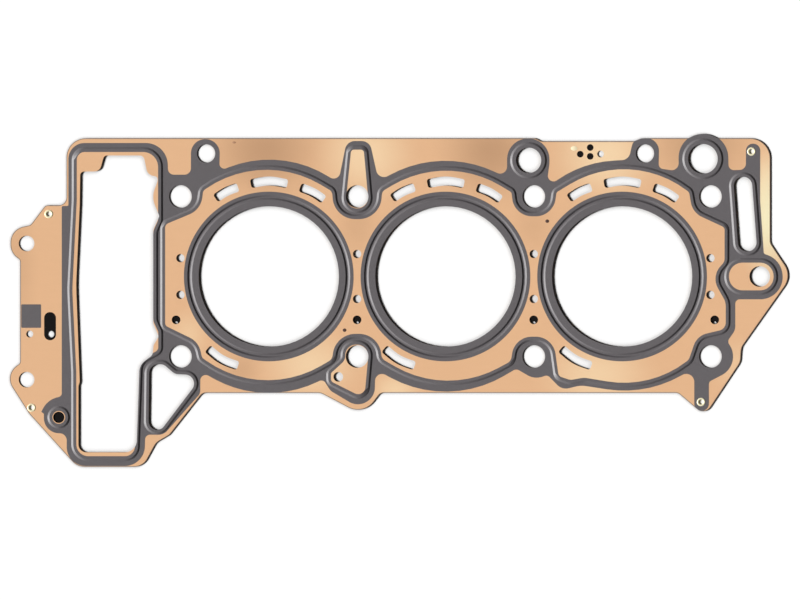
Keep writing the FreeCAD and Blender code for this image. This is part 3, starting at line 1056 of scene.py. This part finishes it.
@dataclass
class Marks:
    """Marks on the pressed sheet: two dark ones between the bores, two faint ones at the top."""

    dark: tuple[Mark, ...] = (
        Mark("dark_mark_1", X1 - 7.5, LOW + 15.8, 1.15, 1.05),
        Mark("dark_mark_2", X2 + 8.1, TOP - 14.8, 1.15, 1.05),
    )
    brown: tuple[Mark, ...] = (Mark("brown_mark", X0 + 32.2, EDGE - 2.5, 1.1, 0.7),)
    pale: tuple[Mark, ...] = (Mark("pale_mark", X2 + 24.2, EDGE - 6.0, 2.0, 1.4),)
    rise: float = 0.025
    steps: int = 32
    rounding_share: float = 0.6
    rounding_steps: int = 2
    rounding_profile: float = 0.5
    smooth_below: float = 30.0

    def press(self, mark: Mark, stain: bpy.types.Material) -> bpy.types.Object:
        """Make one mark as a thin lens on the sheet.

        Args:
            mark: Its place and size.
            stain: Its finish.

        Returns:
            The mark.
        """
        bm = bmesh.new()
        bmesh.ops.create_circle(bm, cap_ends=True, segments=self.steps, radius=1.0)
        size = (mark.half_width * MM, mark.half_height * MM, 1.0)
        bmesh.ops.scale(bm, verts=bm.verts, vec=size)
        tops = raise_faces(bm, self.rise)
        rim = [e for e in bm.edges if all(v in tops for v in e.verts)]
        bmesh.ops.bevel(bm, geom=rim, offset=self.rise * MM * self.rounding_share,
                        segments=self.rounding_steps, profile=self.rounding_profile,
                        affect="EDGES", material=-1)
        place = (mark.x * MM, mark.y * MM, surface_height(mark.x, mark.y) * MM)
        bmesh.ops.translate(bm, verts=bm.verts, vec=place)
        return new_piece(mark.name, bm, stain, self.smooth_below)

    def build(self, dark: bpy.types.Material, brown: bpy.types.Material,
              pale: bpy.types.Material) -> list[bpy.types.Object]:
        """Make all the marks.

        Args:
            dark: Finish of the dark marks.
            brown: Finish of the brown mark.
            pale: Finish of the pale mark.

        Returns:
            The marks.
        """
        pairs = ((self.dark, dark), (self.brown, brown), (self.pale, pale))
        return [self.press(mark, stain) for marks, stain in pairs for mark in marks]


@dataclass
class Studio:
    """White floor, soft light from the timing end and a camera straight above.

    Lengths are in millimetres, apart from the floor's size and the camera's height and clipping,
    which are in metres. The panel's top, fade and sides are parts of a direction of length one.
    """

    floor_size: float = 12.0
    floor_gap: float = 0.02
    floor_level: float = 1.06
    floor_bounce: float = 0.6
    floor_roughness: float = 0.9
    contact_reach: float = 8.0
    contact_open: float = 0.75
    contact_shade: float = 0.66
    contact_samples: int = 16
    camera_x: float = -27.24
    camera_y: float = -14.1
    camera_height: float = 1.0
    clip_start: float = 0.01
    clip_end: float = 10.0
    view_width: float = 480.0
    sun_elevation: float = 35.0
    sun_azimuth: float = 6.0
    sun_level: float = 5.36
    sun_angle: float = 14.0
    sky_level: float = 0.02
    haze_top: float = 14.0
    panel_level: float = 1.5
    panel_top: float = 0.85
    panel_fade: float = 0.25
    panel_side: float = 0.25
    panel_full: float = -0.5

    def background_rays(self, tree: bpy.types.NodeTree) -> bpy.types.NodeSocket:
        """Find the rays of the camera, of gloss and of glass, which see the white background.

        Args:
            tree: Nodes of the floor's material or of the world.

        Returns:
            A mask that is one for such rays.
        """
        rays = add_node(tree, "ShaderNodeLightPath")
        seen = add_node(tree, "ShaderNodeMath", operation="MAXIMUM")
        clear = add_node(tree, "ShaderNodeMath", operation="MAXIMUM")
        tree.links.new(rays.outputs["Is Camera Ray"], seen.inputs[0])
        tree.links.new(rays.outputs["Is Glossy Ray"], seen.inputs[1])
        tree.links.new(seen.outputs[0], clear.inputs[0])
        tree.links.new(rays.outputs["Is Transmission Ray"], clear.inputs[1])
        return clear.outputs[0]

    def floor_material(self) -> bpy.types.Material:
        """Make the white of the floor, which clips where neither shadow nor contact shade lies.

        Returns:
            The material.
        """
        material = bpy.data.materials.new("white_floor")
        material.use_nodes = True
        tree = material.node_tree
        shader = tree.nodes["Principled BSDF"]
        set_values(shader, {"Roughness": self.floor_roughness, "Specular IOR Level": 0.0})
        levels = {"A": self.floor_bounce, "B": self.floor_level}
        whites = {socket: (level, level, level, 1.0) for socket, level in levels.items()}
        tone = add_node(tree, "ShaderNodeMix", whites, data_type="RGBA")
        tree.links.new(self.background_rays(tree), tone.inputs["Factor"])
        contact = add_node(tree, "ShaderNodeAmbientOcclusion",
                           {"Distance": self.contact_reach * MM}, samples=self.contact_samples)
        shade = add_node(tree, "ShaderNodeMapRange",
                         {"From Min": self.contact_open, "To Min": self.contact_shade})
        tree.links.new(contact.outputs["AO"], shade.inputs["Value"])
        shaded = add_node(tree, "ShaderNodeMix", {"Factor": 1.0}, data_type="RGBA",
                          blend_type="MULTIPLY")
        tree.links.new(tone.outputs["Result"], shaded.inputs["A"])
        tree.links.new(shade.outputs["Result"], shaded.inputs["B"])
        tree.links.new(shaded.outputs["Result"], shader.inputs["Base Color"])
        return material

    def lay_floor(self) -> None:
        """Lay the floor under the base layer."""
        bm = bmesh.new()
        bmesh.ops.create_grid(bm, x_segments=1, y_segments=1, size=self.floor_size / 2)
        bmesh.ops.translate(bm, verts=bm.verts, vec=(0, 0, (BASE_BOTTOM - self.floor_gap) * MM))
        floor = put_in_scene("floor", bm)
        floor.data.materials.append(self.floor_material())

    def hang_light(self) -> None:
        """Set one wide soft lamp at the timing end."""
        sun = bpy.data.lights.new("key", "SUN")
        sun.energy = self.sun_level
        sun.angle = math.radians(self.sun_angle)
        lamp = bpy.data.objects.new("key", sun)
        tilt = math.radians(90.0 - self.sun_elevation)
        lamp.rotation_euler = (0.0, -tilt, math.radians(self.sun_azimuth))
        bpy.context.scene.collection.objects.link(lamp)

    def panel(self, tree: bpy.types.NodeTree, split: bpy.types.Node) -> bpy.types.NodeSocket:
        """Hang a wide soft panel at the timing end, which only gloss shows.

        Args:
            tree: Nodes of the world.
            split: Node that gives the parts of the direction.

        Returns:
            The panel's brightness.
        """
        side = add_node(tree, "ShaderNodeMapRange",
                        {"From Min": self.panel_side, "From Max": self.panel_full},
                        interpolation_type="SMOOTHSTEP")
        band = add_node(tree, "ShaderNodeMapRange", {
            "From Min": self.panel_top, "From Max": self.panel_top - self.panel_fade,
            "To Max": self.panel_level,
        }, interpolation_type="SMOOTHSTEP")
        area = add_node(tree, "ShaderNodeMath", operation="MULTIPLY")
        shown = add_node(tree, "ShaderNodeMath", operation="MULTIPLY")
        rays = add_node(tree, "ShaderNodeLightPath")
        tree.links.new(split.outputs["X"], side.inputs["Value"])
        tree.links.new(split.outputs["Z"], band.inputs["Value"])
        tree.links.new(side.outputs["Result"], area.inputs[0])
        tree.links.new(band.outputs["Result"], area.inputs[1])
        tree.links.new(area.outputs[0], shown.inputs[0])
        tree.links.new(rays.outputs["Is Glossy Ray"], shown.inputs[1])
        return shown.outputs[0]

    def paint_sky(self) -> None:
        """Make the dim even sky, with a white haze near the horizon, and add the panel to it."""
        world = bpy.data.worlds.new("sky")
        bpy.context.scene.world = world
        world.use_nodes = True
        tree = world.node_tree
        background = tree.nodes["Background"]
        set_values(background, {"Color": (1.0, 1.0, 1.0, 1.0)})
        direction = add_node(tree, "ShaderNodeTexCoord")
        split = add_node(tree, "ShaderNodeSeparateXYZ")
        haze = add_node(tree, "ShaderNodeMapRange",
                        {"From Min": math.sin(math.radians(self.haze_top)), "From Max": 0.0},
                        interpolation_type="SMOOTHSTEP")
        seen = add_node(tree, "ShaderNodeMath", operation="MULTIPLY")
        level = add_node(tree, "ShaderNodeMapRange", {"To Min": self.sky_level, "To Max": 1.0})
        tree.links.new(direction.outputs["Generated"], split.inputs["Vector"])
        tree.links.new(split.outputs["Z"], haze.inputs["Value"])
        tree.links.new(haze.outputs["Result"], seen.inputs[0])
        tree.links.new(self.background_rays(tree), seen.inputs[1])
        tree.links.new(seen.outputs[0], level.inputs["Value"])
        total = add_node(tree, "ShaderNodeMath", operation="ADD")
        tree.links.new(level.outputs["Result"], total.inputs[0])
        tree.links.new(self.panel(tree, split), total.inputs[1])
        tree.links.new(total.outputs[0], background.inputs["Strength"])

    def set_camera(self) -> None:
        """Set the camera straight above the middle of the view."""
        data = bpy.data.cameras.new("camera")
        data.type = "ORTHO"
        data.ortho_scale = self.view_width * MM
        data.clip_start = self.clip_start
        data.clip_end = self.clip_end
        camera = bpy.data.objects.new("camera", data)
        camera.location = (self.camera_x * MM, self.camera_y * MM, self.camera_height)
        bpy.context.scene.collection.objects.link(camera)
        bpy.context.scene.camera = camera
        bpy.context.scene.view_settings.view_transform = "Standard"

    def build(self) -> None:
        """Lay the floor, hang the light, paint the sky and set the camera."""
        self.lay_floor()
        self.hang_light()
        self.paint_sky()
        self.set_camera()


def dress(node: str, material: bpy.types.Material) -> None:
    """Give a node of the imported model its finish.

    Args:
        node: Name of the node.
        material: The finish.
    """
    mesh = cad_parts[node].data
    mesh.materials.clear()
    mesh.materials.append(material)


def main() -> None:
    """Build every piece in order and report each."""
    logging.basicConfig(level=logging.INFO, format="%(name)s: %(message)s")
    recipes = Recipes(grain_group(), soft_spot_group(), crisp_relief_group())
    dress("upper_bead_layer", COPPER_LACQUER.build(recipes))
    dress("base_layer", BLACK_COAT.build(recipes))
    pieces = SealPrint().build(SEAL_PRINT.build(recipes))
    pieces += WornShadedEdge().build(WORN_STEEL_AND_EDGE_SHADE.build(recipes))
    pieces += Eyelets().build(EYELET_PLATING.build(recipes))
    stains = [finish.build(recipes) for finish in (DARK_MARK, BROWN_MARK, PALE_MARK)]
    pieces += Marks().build(*stains)
    for piece in pieces:
        log.info("%s has %d faces", piece.name, len(piece.data.polygons))
    Studio().build()


if __name__ == "__main__":
    main()
